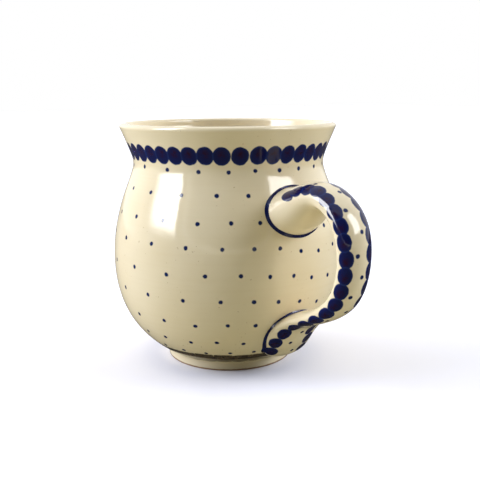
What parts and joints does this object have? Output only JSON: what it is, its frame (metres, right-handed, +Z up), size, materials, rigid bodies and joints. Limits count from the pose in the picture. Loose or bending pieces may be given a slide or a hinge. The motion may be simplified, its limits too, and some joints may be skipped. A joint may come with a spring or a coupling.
{
  "type": "stoneware mug",
  "caption": "Round-bellied stoneware mug with a flared lip, a foot ring and a strap handle, hand-stamped with dark discs and small dots under a clear glaze.",
  "frame": {"origin": "on the resting plane, under the centre of the whole mug's bounding box", "axes": "+Z up through the cup, +X from the cup towards the handle, whose loop lies in the XZ plane"},
  "size_m": [0.1303, 0.0976, 0.1],
  "materials": {
    "cup_glaze": "clear gloss glaze over cream stoneware, with stamped cobalt and brown decoration",
    "handle_glaze": "clear gloss glaze over cream stoneware, with stamped cobalt discs along both edges",
    "slip_joint": "fired slip with a painted cobalt line under the glaze"
  },
  "bodies": {
    "root": {"cup_body": "cup_glaze", "handle": "handle_glaze", "upper_slip_joint": "slip_joint", "lower_slip_joint": "slip_joint"}
  },
  "joints": []
}
